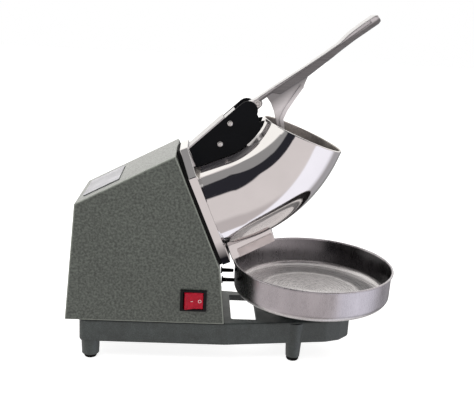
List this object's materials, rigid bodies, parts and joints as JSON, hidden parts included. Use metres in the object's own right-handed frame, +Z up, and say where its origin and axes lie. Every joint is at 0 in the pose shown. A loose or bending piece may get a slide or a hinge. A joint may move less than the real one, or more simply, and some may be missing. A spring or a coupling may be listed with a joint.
{
  "type": "shaved ice machine",
  "caption": "Bench-top electric ice shaver: slanted motor housing, polished elbow hopper, hinged pressing lever, blade disc behind the hopper and a removable round catch pan.",
  "frame": {"origin": "bottom centre of the bounding box, on the plane the rubber feet stand on", "axes": "+X towards the front (catch pan side), +Y away from the side with the rocker switch, +Z up"},
  "size_m": [0.4684, 0.23, 0.4811],
  "materials": {
    "casting_paint": "semi-matt dark grey-green paint on a rough casting",
    "hammered_paint": "hammered grey-green enamel",
    "rubber_black": "matt black",
    "black_plastic": "matt black moulding",
    "black_paint": "satin black",
    "polished_aluminium": "mirror polished",
    "satin_aluminium": "satin, lightly brushed",
    "motor_aluminium": "as cast",
    "motor_steel": "rolled steel",
    "steel_plain": "machined",
    "steel_blade": "ground edge",
    "iron_core": "varnished laminations",
    "screw_chrome": "bright plated",
    "pan_steel": "spun, brushed round the wall",
    "switch_red": "gloss red",
    "label_pale": "plain pale plate"
  },
  "bodies": {
    "frame": {"base_frame": "casting_paint", "bracket_far": "black_paint", "bracket_near": "black_paint", "bracket_screw_far_1": "screw_chrome", "bracket_screw_far_2": "screw_chrome", "bracket_screw_near_1": "screw_chrome", "bracket_screw_near_2": "screw_chrome", "cord_gland": "black_plastic", "discharge_spout": "polished_aluminium", "foot_pad_front_far": "rubber_black", "foot_pad_front_near": "rubber_black", "foot_pad_rear_far": "rubber_black", "foot_pad_rear_near": "rubber_black", "front_bearing": "steel_plain", "front_bell": "motor_aluminium", "front_bulkhead": "hammered_paint", "front_plate": "polished_aluminium", "hinge_block": "satin_aluminium", "hinge_pin": "steel_plain", "hopper": "polished_aluminium", "hopper_bolt_1": "steel_plain", "hopper_bolt_2": "steel_plain", "hopper_bolt_3": "steel_plain", "hopper_bolt_4": "steel_plain", "housing_shell": "hammered_paint", "motor_bolt_1": "steel_plain", "motor_bolt_2": "steel_plain", "motor_bolt_3": "steel_plain", "motor_bolt_4": "steel_plain", "motor_case": "motor_steel", "pan_pedestal": "black_paint", "pan_stop_far": "rubber_black", "pan_stop_near": "rubber_black", "plate_gasket": "rubber_black", "rear_bearing": "steel_plain", "rear_bell": "motor_aluminium", "shaft_seal": "rubber_black", "spout_plate": "label_pale", "stator_core": "iron_core", "switch_body": "black_plastic", "top_plate": "label_pale", "top_strap": "satin_aluminium"},
    "lever": {"lever_handle": "satin_aluminium", "ice_presser": "satin_aluminium", "cross_bolt": "screw_chrome", "cross_nut": "screw_chrome"},
    "rotor": {"motor_shaft": "steel_plain", "rotor_core": "iron_core", "cooling_fan": "black_plastic", "cutter_disc": "steel_plain", "blade_1": "steel_blade", "blade_2": "steel_blade", "blade_screw_11": "steel_plain", "blade_screw_12": "steel_plain", "blade_screw_21": "steel_plain", "blade_screw_22": "steel_plain", "hub_nut": "steel_plain"},
    "rocker": {"rocker_button": "switch_red"},
    "pan": {"catch_pan": "pan_steel"}
  },
  "joints": [
    {"name": "lever_hinge", "type": "hinge", "parent": "frame", "child": "lever", "pos_m": [0.012, 0, 0.3495], "axis": [0, 1, 0], "range_deg": [-50, 50]},
    {"name": "rotor_spin", "type": "hinge", "parent": "frame", "child": "rotor", "pos_m": [-0.02975, 0, 0.213], "axis": [0.9184, 0, 0.3955], "continuous": true},
    {"name": "rocker_tilt", "type": "hinge", "parent": "frame", "child": "rocker", "pos_m": [-0.0506, -0.0624, 0.0948], "axis": [0, 0, 1], "range_deg": [-20, 0]},
    {"name": "pan_slide", "type": "slide", "parent": "frame", "child": "pan", "axis": [1, 0, 0], "range_m": [0, 0.15]}
  ]
}
